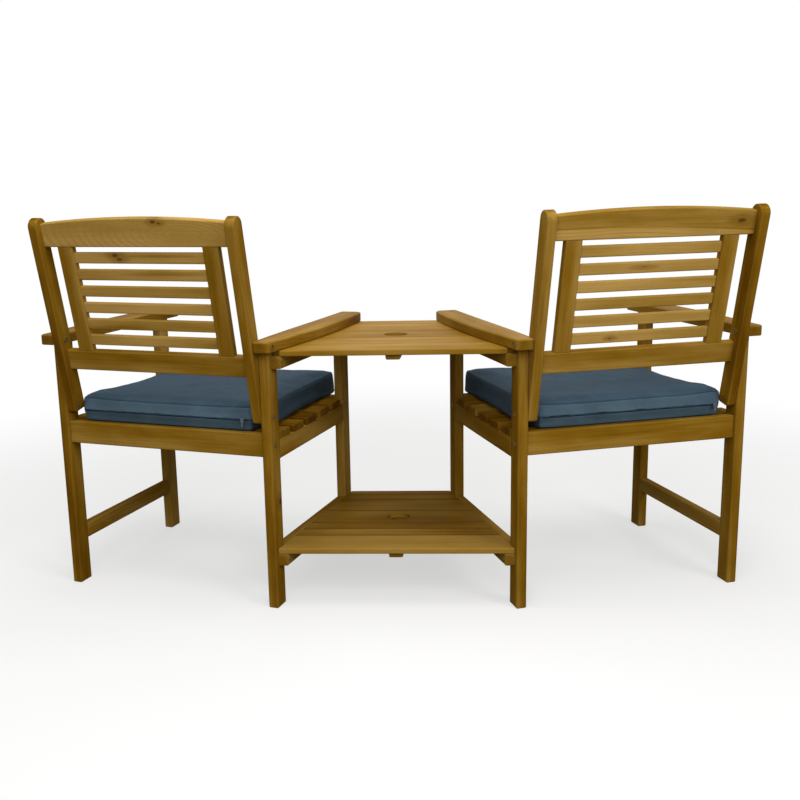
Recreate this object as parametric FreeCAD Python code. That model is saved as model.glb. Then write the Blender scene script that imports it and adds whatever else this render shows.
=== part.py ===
# Companion seat bench: two armchairs, turned in toward each other, share a slatted table and a shelf.
# The sitters face -Y. Each chair is drawn once in its own axes, then turned, placed and mirrored.
# Lengths are in millimetres and angles in degrees.
import FreeCAD
import Part
import math
import os

# How the chairs stand
splay = 17.0  # turn of each chair toward the other
rear_half_width = 273.0  # centre plane to the rear outer corner of the table side leg
chair_width = 562.0  # over the legs
chair_depth = 478.0  # over the legs, front to rear
leg_width = 24.0
leg_depth = 44.0
leg_height = 600.0
leg_arris = 2.5
foot_chamfer = 1.5

# Armrests, lying on the legs
arm_width = 40.0
arm_thickness = 20.0
arm_bolt_end_gap = 15.0  # bolt to the rear end of the armrest
arm_front_overhang = 48.0
arm_corner = 10.0
arm_top_arris = 2.5
arm_low_arris = 1.5

# Seat
seat_height = 411.0
seat_rail_height = 54.0
seat_rail_thickness = 20.0
rear_rail_inset = 8.0
front_rail_inset = 16.0
side_rail_height = 46.0
seat_dish = 4.0  # how far the top of a side rail dips at its middle
seat_slat_count = 5
seat_slat_width = 54.0
seat_slat_thickness = 18.0
first_slat_gap = 2.0  # rear leg to the first slat
last_slat_gap = 30.0  # last slat to the front rail
arris = 2.0  # easing along the edges of rails and slats

# Stretchers between the legs, low down
stretcher_top = 140.0
stretcher_height = 36.0
stretcher_thickness = 22.0

# Back frame, reclined about its lower bolts; its heights are measured up the slope from them
recline = 11.6
stile_bolt_rise = 39.0  # top of the seat rails to the lower bolt
stile_bolt_setback = 17.0  # rear face of the legs to the bolt
stile_width = 22.0
stile_depth = 40.0
stile_rear = 16.2  # bolt to the rear face of the stile
stile_foot = 14.0  # stile below its lower bolt
stile_length = 467.0
stile_arris = 1.5
stile_foot_corner = 5.0
back_rail_thickness = 20.0
back_rail_inset = 17.0  # rear face of the stiles to that of the rails
lower_rail_drop = 23.2  # bolt of the armrest, down the slope, to the top of the lower rail
lower_rail_height = 48.0
crest_bottom = 387.0
crest_end_height = 53.0
crest_rise = 11.0
upright_width = 38.0
upright_thickness = 18.0
upright_slot = 32.0  # open slot between a stile and an upright
back_slat_count = 6
back_slat_height = 25.0
back_slat_thickness = 10.0

# Tenons and the mortises they fit
tenon_thickness = 9.0
tenon_length = 12.0
tenon_shoulder = 8.0
slat_tenon_thickness = 5.0
slat_tenon_length = 8.0
slat_tenon_shoulder = 4.0
joint_clearance = 0.2

# Bolts, nuts, dowels and screws; a head has a diameter and a height
bolt_diameter = 6.0
bolt_head = (12.0, 3.0)
head_recess = 1.0  # face of the wood to the face of a head
rail_bolt_length = 70.0
barrel_nut_diameter = 10.0
barrel_nut_length = 13.0
barrel_nut_depth = 3.0  # rail face to the near end of a barrel nut
barrel_nut_setback = 32.0  # end of a rail to the axis of its barrel nut
cap_sleeve_diameter = 8.0
cap_sleeve_length = 13.0
bolt_tip_gap = 3.0  # end of a bolt to the bottom of its cap nut
screw_head = (8.0, 3.0)
screw_diameter = 4.0
screw_length = 36.0
dowel_diameter = 8.0
dowel_length = 36.0
dowel_drop = 17.0  # below the bolt
bore_clearance = 0.15
fastener_sides = 8  # round fasteners and their bores are drawn with flats

# Table and shelf
table_setback = 10.0  # rear edge of the boards, ahead of the rear leg corner
table_front_overhang = 33.0  # front edge of the boards, ahead of the front leg corner
shelf_front_overhang = 3.0
table_drop = 2.0  # boards below the underside of the armrests
board_thickness = 11.0
board_pitch = 46.5
board_gap = 1.5
board_pitch_counts = (2, 1, 1, 2, 2, 1)  # widths of the boards from the rear; one more fills the front
boards_behind_hole_count = 3
smallest_board = 12.0
board_end_gap = 1.0  # end of a board to the legs
board_arris = 1.5
cleat_width = 22.0
cleat_height = 28.0
batten_width = 32.0
batten_thickness = 11.0
batten_rear_inset = 8.0
batten_front_inset = 20.0
pole_hole_diameter = 56.0
batten_hole_gap = 3.0  # rim of the pole hole to the end of a batten

# Cushions
cushion_rear_inset = 9.0  # rear face of the rear legs to the back of a cushion
cushion_depth = 496.0
cushion_stile_gap = 8.0  # each side, between the stiles
cushion_leg_gap = 8.0  # each side, at its widest
cushion_bulge_run = 23.0  # front of the stiles to where it is widest
cushion_front_taper = 10.0  # each side, the front narrower than the widest place behind it
cushion_side_draw = 11.0  # how far its sides are drawn in between the corners
cushion_front_draw = 4.0
cushion_corner = 27.0
cushion_thickness = 56.0  # between the seams
cushion_crown = 8.0
cushion_seam_draw = 3.0  # how far the seams are drawn in from the widest level
cushion_flat_band = 16.0  # upright middle band of the sides
cushion_crown_middle = 0.8  # share of the cushion that is flat on top
cushion_crown_steps = (0.15, 0.45, 1.0)  # from the seam to that middle
soft_clearance = 0.3

# Zip across the back of a cushion
zip_end_gap = 3.0  # from each end of a zip to the bend of the cushion's corner
zip_height = 6.0
zip_thickness = 1.5
slider_length = 10.0
slider_wall = 1.5
slider_gap = 0.3
slider_end_gap = 6.0
pull_length = 18.0
pull_width = 5.0
pull_thickness = 1.2

X, Y, Z = FreeCAD.Vector(1, 0, 0), FreeCAD.Vector(0, 1, 0), FreeCAD.Vector(0, 0, 1)
ORIGIN = FreeCAD.Vector(0, 0, 0)
small_angle = 0.05  # radians, within which an edge counts as lying along an axis

# Places that several pieces share, in a chair's own axes: x toward the table, y to the rear, z up.
# The rear face of the rear legs is y = 0 and the middle of the chair is x = 0.
stile_bolt_height = seat_height + stile_bolt_rise
half_chair = chair_width / 2
inner_face = half_chair - leg_width  # seat side face of the legs
side_rail_top = seat_height - seat_slat_thickness
rail_mid_height = seat_height - seat_rail_height / 2
rear_rail_y = (-rear_rail_inset - seat_rail_thickness, -rear_rail_inset)
front_rail_y = (-chair_depth + front_rail_inset, -chair_depth + front_rail_inset + seat_rail_thickness)
stile_inner_face = inner_face - stile_width
stile_y = (stile_rear - stile_depth, stile_rear)
stile_mid_y = sum(stile_y) / 2
back_rail_y = (stile_rear - back_rail_inset - back_rail_thickness, stile_rear - back_rail_inset)
back_mid_y = sum(back_rail_y) / 2
crest_end_z = (crest_bottom, crest_bottom + crest_end_height)
upright_x = (stile_inner_face - upright_slot - upright_width, stile_inner_face - upright_slot)
lean_sin, lean_cos = math.sin(math.radians(recline)), math.cos(math.radians(recline))
arm_bolt_height = leg_height + arm_thickness / 2
table_top = leg_height - table_drop
arm_bolt_slope = (arm_bolt_height - stile_bolt_height + stile_mid_y * lean_sin) / lean_cos
arm_bolt_y = -stile_bolt_setback + stile_mid_y * lean_cos + arm_bolt_slope * lean_sin
lower_rail_top = arm_bolt_slope - lower_rail_drop
lower_rail_z = (lower_rail_top - lower_rail_height, lower_rail_top)
stile_front_y = -stile_bolt_setback + stile_y[0] * lean_cos - stile_foot * lean_sin  # at its foot


def block(x, y, z):
    """A plain box between two places along each axis."""
    return Part.makeBox(x[1] - x[0], y[1] - y[0], z[1] - z[0], FreeCAD.Vector(x[0], y[0], z[0]))


def grown(span, amount):
    return (span[0] - amount, span[1] + amount)


def shrunk(span, amount):
    return grown(span, -amount)


def about(middle, width):
    return (middle - width / 2, middle + width / 2)


def edges_along(shape, axis):
    """The edges that start out along an axis."""
    return [e for e in shape.Edges if e.tangentAt(e.FirstParameter).cross(axis).Length < small_angle]


def bar(x, y, z, axis, easing):
    """A straight bar whose long edges are eased."""
    body = block(x, y, z)
    return body.makeChamfer(easing, edges_along(body, axis))


def prism(points, axis, length):
    """A closed outline of points, pushed along an axis."""
    outline = Part.makePolygon(points + points[:1])
    return Part.Face(outline).extrude(axis * length)


def rod(start, axis, diameter, length):
    """A round fastener or its bore, drawn with flats."""
    side = Z if abs(axis.dot(Z)) < 0.5 else X
    other = axis.cross(side)
    turns = [2 * math.pi * (n + 0.5) / fastener_sides for n in range(fastener_sides)]
    ring = [start + (side * math.cos(a) + other * math.sin(a)) * (diameter / 2) for a in turns]
    return prism(ring, axis, length)


def joined(body, *more):
    return body.multiFuse(list(more)).removeSplitter().Solids[0]


def cut(body, *tools):
    return body.cut(list(tools)).Solids[0]


def mirrored(shape):
    return shape.mirror(ORIGIN, X)


def reclined(shape):
    """Moves a piece drawn in the back frame's own axes to its place in the chair."""
    out = shape.copy()
    out.rotate(ORIGIN, X, -recline)
    out.translate(FreeCAD.Vector(0, -stile_bolt_setback, stile_bolt_height))
    return out


# Fasteners. Each is drawn for the table side of a chair, with its head toward the table.
def headed(x, y, z, head, shank, length):
    """A flat headed bolt or screw that points away from the table."""
    start = FreeCAD.Vector(x, y, z)
    return joined(rod(start, -X, *head), rod(start, -X, shank, length))


def headed_hole(face_x, y, z, head, shank, length):
    """The bore that takes it, with a wider seat that sets its head below the face."""
    start = FreeCAD.Vector(face_x, y, z)
    seat = rod(start, -X, head[0] + 2 * bore_clearance, head_recess + head[1])
    return seat.fuse(rod(start, -X, shank + 2 * bore_clearance, length))


def bolt_hole(face_x, y, z):
    return headed_hole(face_x, y, z, bolt_head, bolt_diameter, chair_width)


def cap_nut(y, z):
    """A flat headed sleeve nut in the seat side face of a stile."""
    start = FreeCAD.Vector(stile_inner_face + head_recess, y, z)
    sleeve = rod(start, X, cap_sleeve_diameter, cap_sleeve_length)
    bore = rod(start + X * bolt_head[1], X, bolt_diameter + 2 * bore_clearance, cap_sleeve_length)
    return cut(joined(rod(start, X, *bolt_head), sleeve), bore)


def cap_hole(y, z):
    start = FreeCAD.Vector(stile_inner_face, y, z)
    seat = rod(start, X, bolt_head[0] + 2 * bore_clearance, head_recess + bolt_head[1])
    bored = rod(start, X, cap_sleeve_diameter + 2 * bore_clearance, head_recess + cap_sleeve_length)
    return seat.fuse(bored)


def stile_bolt(face_x, y, z):
    """A bolt through a leg or an armrest into the cap nut of a stile."""
    head_x = face_x - head_recess
    tip_x = stile_inner_face + head_recess + bolt_head[1] + bolt_tip_gap
    return headed(head_x, y, z, bolt_head, bolt_diameter, head_x - tip_x)


def cleat_screw_places():
    """Middle of each leg and of each cleat, where a screw holds one to the other."""
    return [(sum(leg_y(rear)) / 2, top - board_thickness - cleat_height / 2)
            for rear in (True, False) for top in (table_top, stretcher_top)]


cleat_face = half_chair + cleat_width


def cleat_screw_hole(y, z):
    depth = head_recess + screw_length + bore_clearance
    return headed_hole(cleat_face, y, z, screw_head, screw_diameter, depth)


barrel_nut_x = inner_face - barrel_nut_setback


def rail_bolt(rail_y):
    head_x = half_chair - head_recess
    return headed(head_x, sum(rail_y) / 2, rail_mid_height, bolt_head, bolt_diameter, rail_bolt_length)


def barrel_nut_start(rail_y, inward):
    """Near end of a barrel nut, put in from the hidden face of a rail."""
    hidden_y = rail_y[0] if inward > 0 else rail_y[1]
    return FreeCAD.Vector(barrel_nut_x, hidden_y, rail_mid_height)


def barrel_nut(rail_y, inward):
    start = barrel_nut_start(rail_y, inward) + Y * (inward * barrel_nut_depth)
    body = rod(start, Y * inward, barrel_nut_diameter, barrel_nut_length)
    across = FreeCAD.Vector(barrel_nut_x + barrel_nut_diameter, sum(rail_y) / 2, rail_mid_height)
    bore = rod(across, -X, bolt_diameter + 2 * bore_clearance, 2 * barrel_nut_diameter)
    return cut(body, bore)


def barrel_nut_hole(rail_y, inward):
    depth = barrel_nut_depth + barrel_nut_length + bore_clearance
    diameter = barrel_nut_diameter + 2 * bore_clearance
    return rod(barrel_nut_start(rail_y, inward), Y * inward, diameter, depth)


def dowel(rail_y, clearance=0.0):
    """A wooden dowel, half in a leg and half in the end of a rail, or its hole."""
    leg_part = leg_width / 2
    middle_y, height = sum(rail_y) / 2, rail_mid_height - dowel_drop
    start = FreeCAD.Vector(inner_face + leg_part + clearance, middle_y, height)
    return rod(start, -X, dowel_diameter + 2 * clearance, dowel_length + 2 * clearance)


# Legs, rails and stretchers of the table side of a chair
def leg_y(rear):
    return (-leg_depth, 0) if rear else (-chair_depth, -chair_depth + leg_depth)


def side_rail_spans():
    return (inner_face, half_chair), (-chair_depth + leg_depth, -leg_depth)


def stretcher_spans():
    middle = half_chair - leg_width / 2
    return about(middle, stretcher_thickness), (-chair_depth + leg_depth, -leg_depth)


def end_tenons(x, y, z, clearance=0.0):
    """The two tenons of a rail that runs front to rear, or the mortises for them."""
    tenon_x = grown(about(sum(x) / 2, tenon_thickness), clearance)
    tenon_z = grown(shrunk(z, tenon_shoulder), clearance)
    rear = block(tenon_x, (y[1], y[1] + tenon_length + clearance), tenon_z)
    front = block(tenon_x, (y[0] - tenon_length - clearance, y[0]), tenon_z)
    return rear, front


def arm_tenon(rear, clearance=0.0):
    """The stub on top of a leg that stands in the armrest."""
    x = grown(shrunk((inner_face, half_chair), tenon_shoulder), clearance)
    y = grown(shrunk(leg_y(rear), tenon_shoulder + leg_arris), clearance)
    return block(x, y, (leg_height, leg_height + arm_thickness / 2 + clearance))


def leg(rear):
    y = leg_y(rear)
    body = bar((inner_face, half_chair), y, (0, leg_height), Z, leg_arris)
    foot = [e for e in body.Edges if e.BoundBox.ZMax < foot_chamfer]
    body = joined(body.makeChamfer(foot_chamfer, foot), arm_tenon(rear))
    rail_x, rail_y = side_rail_spans()
    rail_z = (side_rail_top - side_rail_height, side_rail_top)
    mortises = end_tenons(rail_x, rail_y, rail_z, joint_clearance)
    low_x, low_y = stretcher_spans()
    low_z = (stretcher_top - stretcher_height, stretcher_top)
    low_mortises = end_tenons(low_x, low_y, low_z, joint_clearance)
    cross_rail_y = rear_rail_y if rear else front_rail_y
    tools = [*mortises, *low_mortises, dowel(cross_rail_y, bore_clearance)]
    tools.append(bolt_hole(half_chair, sum(cross_rail_y) / 2, rail_mid_height))
    if rear:
        tools.append(bolt_hole(half_chair, -stile_bolt_setback, stile_bolt_height))
    return cut(body, *tools)


def armrest():
    x = (inner_face, inner_face + arm_width)
    y = (-chair_depth - arm_front_overhang, arm_bolt_y + arm_bolt_end_gap)
    z = (leg_height, leg_height + arm_thickness)
    body = block(x, y, z)
    body = body.makeFillet(arm_corner, edges_along(body, Z))
    low_rim = [e for e in body.Edges if e.BoundBox.ZMax < z[0] + arm_low_arris]
    body = body.makeChamfer(arm_low_arris, low_rim)
    top_rim = [e for e in body.Edges if e.BoundBox.ZMin > z[1] - arm_top_arris]
    body = body.makeChamfer(arm_top_arris, top_rim)
    tools = [arm_tenon(True, joint_clearance), arm_tenon(False, joint_clearance)]
    tools.append(bolt_hole(x[1], arm_bolt_y, arm_bolt_height))
    return cut(body, *tools)


dish_radius = ((chair_depth - 2 * leg_depth) / 2) ** 2 / (2 * seat_dish) + seat_dish / 2
dish_y = -chair_depth / 2
dish_z = side_rail_top - seat_dish + dish_radius


def side_rail():
    """Its top dips to the middle, and the seat slats lie in the dip."""
    x, y = side_rail_spans()
    z = (side_rail_top - side_rail_height, side_rail_top)
    tenons = end_tenons(x, y, (z[0], z[1]))
    body = block(x, y, z)
    dip = Part.makeCylinder(dish_radius, chair_width, FreeCAD.Vector(0, dish_y, dish_z), X)
    body = cut(body, dip)
    low_edges = [e for e in edges_along(body, Y) if e.BoundBox.ZMax < sum(z) / 2]
    return joined(body.makeChamfer(arris, low_edges), *tenons)


def stretcher():
    x, y = stretcher_spans()
    z = (stretcher_top - stretcher_height, stretcher_top)
    return joined(bar(x, y, z, Y, arris), *end_tenons(x, y, z))


# Pieces that run across a chair
def seat_rail(y, inward):
    body = bar((-inner_face, inner_face), y, (seat_height - seat_rail_height, seat_height), X, arris)
    tools = []
    for tool in (
        rod(FreeCAD.Vector(inner_face, sum(y) / 2, rail_mid_height), -X,
            bolt_diameter + 2 * bore_clearance, rail_bolt_length),
        barrel_nut_hole(y, inward),
        dowel(y, bore_clearance),
    ):
        tools += [tool, mirrored(tool)]
    return cut(body, *tools)


def seat_slats():
    """Flat slats on the side rails, each turned to lie in the dip."""
    slats = []
    room = -leg_depth - first_slat_gap - (front_rail_y[1] + last_slat_gap)
    pitch = (room - seat_slat_width) / (seat_slat_count - 1)
    for number in range(seat_slat_count):
        middle = -leg_depth - first_slat_gap - seat_slat_width / 2 - number * pitch
        width, height = about(0, seat_slat_width), (0, seat_slat_thickness)
        slat = bar((-half_chair, half_chair), width, height, X, arris)
        away = middle - dish_y
        turn = math.degrees(math.asin(away / dish_radius))
        # The flat of a slat spans the dip like a chord, so it stands a hair above the arc's own depth.
        chord = math.sqrt(dish_radius**2 - (seat_slat_width / 2) ** 2)
        slat.translate(FreeCAD.Vector(0, 0, -chord))
        slat.rotate(ORIGIN, X, turn)
        slat.translate(FreeCAD.Vector(0, dish_y, dish_z))
        slats.append(slat)
    return Part.makeCompound(slats)


# Back frame, in its own axes: x as the chair, z up the slope, y square to the slope and to the rear
def stile():
    """A thick upright with a half round top, bolted to the leg and to the armrest."""
    front, rear = stile_y
    low, high = -stile_foot, stile_length - stile_foot
    spring = high - stile_depth / 2
    c = stile_foot_corner

    def at(y, z):
        return FreeCAD.Vector(stile_inner_face, y, z)

    straight = Part.makePolygon([at(front, spring), at(front, low + c), at(front + c, low),
                                 at(rear - c, low), at(rear, low + c), at(rear, spring)])
    top = Part.Arc(at(rear, spring), at(stile_mid_y, high), at(front, spring)).toShape()
    body = Part.Face(Part.Wire([*straight.Edges, top])).extrude(X * stile_width)
    rims = [e for e in body.Edges if e.BoundBox.XLength < stile_arris]
    body = body.makeChamfer(stile_arris, rims)
    tools = [rail_tenons(z, joint_clearance)[0] for z in (lower_rail_z, crest_end_z)]
    for y, z in ((0, 0), (stile_mid_y, arm_bolt_slope)):
        start = FreeCAD.Vector(stile_inner_face, y, z)
        tools += [rod(start, X, bolt_diameter + 2 * bore_clearance, chair_width), cap_hole(y, z)]
    return cut(body, *tools)


def rail_tenons(z, clearance=0.0):
    """The tenons at both ends of a back rail, or their mortises."""
    y = grown(about(back_mid_y, tenon_thickness), clearance)
    right = block((stile_inner_face, stile_inner_face + tenon_length + clearance), y,
                  grown(shrunk(z, tenon_shoulder), clearance))
    return right, mirrored(right)


def upright_tenons(clearance=0.0):
    """The tenons at both ends of an upright, or their mortises."""
    x = grown(shrunk(upright_x, tenon_shoulder), clearance)
    y = grown(about(back_mid_y, tenon_thickness), clearance)
    low = block(x, y, (lower_rail_z[1] - tenon_length - clearance, lower_rail_z[1]))
    high = block(x, y, (crest_bottom, crest_bottom + tenon_length + clearance))
    return low, high


def lower_back_rail():
    body = bar((-stile_inner_face, stile_inner_face), back_rail_y, lower_rail_z, X, arris)
    body = joined(body, *rail_tenons(lower_rail_z))
    mortise = upright_tenons(joint_clearance)[0]
    return cut(body, mortise, mirrored(mortise))


def crest_rail():
    """The top rail of the back: straight below and arched above."""
    low, end_top = crest_end_z
    y = back_rail_y[0]

    def at(x, z):
        return FreeCAD.Vector(x, y, z)

    w = stile_inner_face
    arch = Part.Arc(at(-w, end_top), at(0, end_top + crest_rise), at(w, end_top)).toShape()
    sides = [Part.LineSegment(at(w, end_top), at(w, low)).toShape(),
             Part.LineSegment(at(w, low), at(-w, low)).toShape(),
             Part.LineSegment(at(-w, low), at(-w, end_top)).toShape()]
    body = Part.Face(Part.Wire([arch, *sides])).extrude(Y * back_rail_thickness)
    long_edges = [e for e in body.Edges if e.BoundBox.XLength > stile_inner_face]
    body = joined(body.makeChamfer(arris, long_edges), *rail_tenons(crest_end_z))
    mortise = upright_tenons(joint_clearance)[1]
    return cut(body, mortise, mirrored(mortise))


def back_slat_spans():
    """Heights of the slats, spaced evenly between the two back rails."""
    room = crest_bottom - lower_rail_z[1]
    gap = (room - back_slat_count * back_slat_height) / (back_slat_count + 1)
    first = lower_rail_z[1] + gap
    starts = [first + n * (back_slat_height + gap) for n in range(back_slat_count)]
    return [(z, z + back_slat_height) for z in starts]


def slat_tenon(z, clearance=0.0):
    return block((upright_x[0], upright_x[0] + slat_tenon_length + clearance),
                 grown(about(back_mid_y, slat_tenon_thickness), clearance),
                 grown(shrunk(z, slat_tenon_shoulder), clearance))


def upright():
    body = bar(upright_x, about(back_mid_y, upright_thickness), (lower_rail_z[1], crest_bottom), Z, arris)
    body = joined(body, *upright_tenons())
    return cut(body, *[slat_tenon(z, joint_clearance) for z in back_slat_spans()])


def back_slats():
    slats = []
    for z in back_slat_spans():
        y = about(back_mid_y, back_slat_thickness)
        slat = bar((-upright_x[0], upright_x[0]), y, z, X, arris)
        slats.append(joined(slat, slat_tenon(z), mirrored(slat_tenon(z))))
    return Part.makeCompound(slats)


# Cushion and its zip, in the chair's axes
cushion_bottom = seat_height + soft_clearance
zip_mid_height = cushion_bottom + cushion_thickness / 2
cushion_rear_y = -cushion_rear_inset
cushion_rear_x = stile_inner_face - cushion_stile_gap
cushion_side_x = inner_face - cushion_leg_gap
zip_length = 2 * (cushion_rear_x - cushion_corner - zip_end_gap)


def cushion_outline(z, scale):
    """One level of the cushion: straight behind, full at its corners and drawn in between them."""
    rear_x, side_x, corner = cushion_rear_x, cushion_side_x, cushion_corner
    front_x = side_x - cushion_front_taper
    rear_y, front_y = cushion_rear_y, cushion_rear_y - cushion_depth
    bulge_y = stile_front_y - cushion_bulge_run
    waist_x = (side_x + front_x) / 2 - cushion_side_draw
    waist_y = (bulge_y + front_y + corner) / 2
    mid_y = (rear_y + front_y) / 2
    bend = corner * (1 - math.sqrt(0.5))

    def at(x, y):
        return FreeCAD.Vector(x * scale, mid_y + (y - mid_y) * scale, z)

    def arc(*places):
        return Part.Arc(*[at(*place) for place in places]).toShape()

    right = [
        arc((rear_x - corner, rear_y), (rear_x - bend, rear_y - bend), (rear_x, rear_y - corner)),
        Part.LineSegment(at(rear_x, rear_y - corner), at(side_x, bulge_y)).toShape(),
        arc((side_x, bulge_y), (waist_x, waist_y), (front_x, front_y + corner)),
        arc((front_x, front_y + corner), (front_x - bend, front_y + bend), (front_x - corner, front_y)),
    ]
    left = [edge.mirror(ORIGIN, X) for edge in reversed(right)]
    front = arc((front_x - corner, front_y), (0, front_y + cushion_front_draw), (corner - front_x, front_y))
    rear = Part.LineSegment(at(corner - rear_x, rear_y), at(rear_x - corner, rear_y)).toShape()
    return Part.Wire([rear, *right, front, *left])


def cushion():
    """A boxed cushion: drawn in at its seams, upright in the middle of its sides and crowned on top."""
    bottom, top = cushion_bottom, cushion_bottom + cushion_thickness
    band, draw = cushion_flat_band / 2, cushion_seam_draw
    drawn_in = 1 - draw / cushion_side_x
    levels = [(bottom, drawn_in**3), (bottom + draw, drawn_in), (zip_mid_height - band, 1),
              (zip_mid_height + band, 1), (top - draw, drawn_in)]
    # The crown rises steeply at the seam and levels out toward the middle.
    for step in cushion_crown_steps:
        rise = (draw + cushion_crown) * math.sqrt(1 - (1 - step) ** 2)
        levels.append((top - draw + rise, drawn_in - (drawn_in - cushion_crown_middle) * step))
    return Part.makeLoft([cushion_outline(z, scale) for z, scale in levels], True, True)


def zip_chain():
    y = (cushion_rear_y, cushion_rear_y + zip_thickness)
    return block(about(0, zip_length), y, about(zip_mid_height, zip_height))


def zip_slider(side):
    """A slider that hugs the zip, with its pull hanging from it; side says toward which end it rests."""
    x = about(side * (zip_length / 2 - slider_end_gap - slider_length / 2), slider_length)
    low_y = cushion_rear_y + slider_gap
    back_y = cushion_rear_y + zip_thickness + slider_gap
    inside = grown(about(zip_mid_height, zip_height), slider_gap)
    shell = block(x, (low_y, back_y + slider_wall), grown(inside, slider_wall))
    channel = block(grown(x, slider_length), (low_y - slider_wall, back_y), inside)
    body = cut(shell, channel)
    pull_top = zip_mid_height + pull_width / 2
    pull_y = (back_y + slider_wall, back_y + slider_wall + pull_thickness)
    pull = block(about(sum(x) / 2, pull_width), pull_y, (pull_top - pull_length, pull_top))
    return Part.makeCompound([body, pull])


# Table and shelf, in the bench's axes with the rear edge of the boards on y = 0
chair_turn = math.radians(splay)
front_corner_depth = chair_depth * math.cos(chair_turn) - table_setback  # rear edge to the front leg corner
table_depth = front_corner_depth + table_front_overhang
shelf_depth = front_corner_depth + shelf_front_overhang


def half_span(y, past_leg):
    """Centre plane to a line that runs beside the chair's legs, past_leg away from them, at a depth y."""
    return rear_half_width - (table_setback - y) * math.tan(chair_turn) - past_leg / math.cos(chair_turn)


def deck_edges(depth):
    """Distances of the board edges from the rear edge of a deck."""
    edges = [0.0]
    for count in board_pitch_counts:
        edge = edges[-1] + count * board_pitch
        if edge > depth - smallest_board:
            break
        edges.append(edge)
    return [*edges, depth]


pitches_behind_hole = sum(board_pitch_counts[:boards_behind_hole_count])
pole_hole_y = -board_pitch * (pitches_behind_hole + board_pitch_counts[boards_behind_hole_count] / 2)


def pole_hole(z):
    start = FreeCAD.Vector(0, pole_hole_y, z[0] - board_thickness)
    return Part.makeCylinder(pole_hole_diameter / 2, z[1] - z[0] + 2 * board_thickness, start)


def deck_outline(depth, z):
    """The plan of a deck: wide at the rear and narrow in front, with its ends beside the legs."""
    corners = [(half_span(y, board_end_gap), y) for y in (board_pitch, -depth - board_pitch)]
    ring = [corners[0], corners[1], (-corners[1][0], corners[1][1]), (-corners[0][0], corners[0][1])]
    return prism([FreeCAD.Vector(x, y, z[0]) for x, y in ring], Z, z[1] - z[0])


def boards(depth, top):
    z = (top - board_thickness, top)
    plan = deck_outline(depth, z)
    edges = deck_edges(depth)
    pieces = []
    for rear, front in zip(edges, edges[1:]):
        front_gap = 0 if front == depth else board_gap
        y = (-front + front_gap, -rear)
        board = bar((-rear_half_width, rear_half_width), y, z, X, board_arris).common(plan)
        if y[0] < pole_hole_y < y[1]:
            board = board.cut(pole_hole(z))
        pieces.append(board.Solids[0])
    return Part.makeCompound(pieces)


def battens(depth, top):
    """The middle batten under a deck, in two lengths that stop short of the pole hole."""
    z = (top - board_thickness - batten_thickness, top - board_thickness)
    clear = pole_hole_diameter / 2 + batten_hole_gap
    rear = bar(about(0, batten_width), (pole_hole_y + clear, -batten_rear_inset), z, Y, arris)
    front = bar(about(0, batten_width), (-depth + batten_front_inset, pole_hole_y - clear), z, Y, arris)
    return Part.makeCompound([rear, front])


def cleat(depth, top):
    """The ledge on the table side of the right chair; its ends are cut in line with the deck."""
    z = (top - board_thickness - cleat_height, top - board_thickness)
    long_bar = bar((half_chair, cleat_face), (-2 * depth, depth), z, Y, arris)
    long_bar = cut(long_bar, *[cleat_screw_hole(*place) for place in cleat_screw_places()])
    room = block((-chair_width - rear_half_width, 0), (-depth, 0), z)
    return placed(long_bar).common(room).Solids[0]


def placed(shape):
    """Turns a chair piece and moves it to the right hand chair."""
    out = shape.copy()
    out.rotate(ORIGIN, Z, splay)
    x = -rear_half_width - half_chair * math.cos(chair_turn)
    y = table_setback - half_chair * math.sin(chair_turn)
    out.translate(FreeCAD.Vector(x, y, 0))
    return out


def chair_parts():
    """Every piece of one chair, in the chair's axes, but the zip slider."""
    parts = {
        "seat_rail_rear": seat_rail(rear_rail_y, 1),
        "seat_rail_front": seat_rail(front_rail_y, -1),
        "seat_slats": seat_slats(),
        "crest_rail": reclined(crest_rail()),
        "back_rail_lower": reclined(lower_back_rail()),
        "back_slats": reclined(back_slats()),
        "cushion": cushion(),
        "zip_chain": zip_chain(),
    }
    sided = {
        "armrest": armrest(),
        "side_rail": side_rail(),
        "stretcher": stretcher(),
        "back_stile": reclined(stile()),
        "back_upright": reclined(upright()),
    }
    for name, shape in sided.items():
        parts[f"{name}_inner"] = shape
        parts[f"{name}_outer"] = mirrored(shape)
    screw_holes = [cleat_screw_hole(*place) for place in cleat_screw_places()]
    for name, rear in (("rear_leg", True), ("front_leg", False)):
        parts[f"{name}_inner"] = cut(leg(rear), *screw_holes)
        parts[f"{name}_outer"] = mirrored(leg(rear))
    return parts


def chair_fasteners():
    """Groups of identical fasteners of one chair, in the chair's axes."""
    cross_rails = ((rear_rail_y, 1), (front_rail_y, -1))
    groups = {
        "rail_bolts": [rail_bolt(y) for y, _ in cross_rails],
        "barrel_nuts": [barrel_nut(y, inward) for y, inward in cross_rails],
        "rail_dowels": [dowel(y) for y, _ in cross_rails],
        "back_bolts": [stile_bolt(half_chair, -stile_bolt_setback, stile_bolt_height),
                       stile_bolt(inner_face + arm_width, arm_bolt_y, arm_bolt_height)],
        "cap_nuts": [reclined(cap_nut(0, 0)), reclined(cap_nut(stile_mid_y, arm_bolt_slope))],
    }
    groups = {name: shapes + [mirrored(s) for s in shapes] for name, shapes in groups.items()}
    groups["cleat_screws"] = [
        headed(cleat_face - head_recess, y, z, screw_head, screw_diameter, screw_length)
        for y, z in cleat_screw_places()
    ]
    return groups


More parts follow.
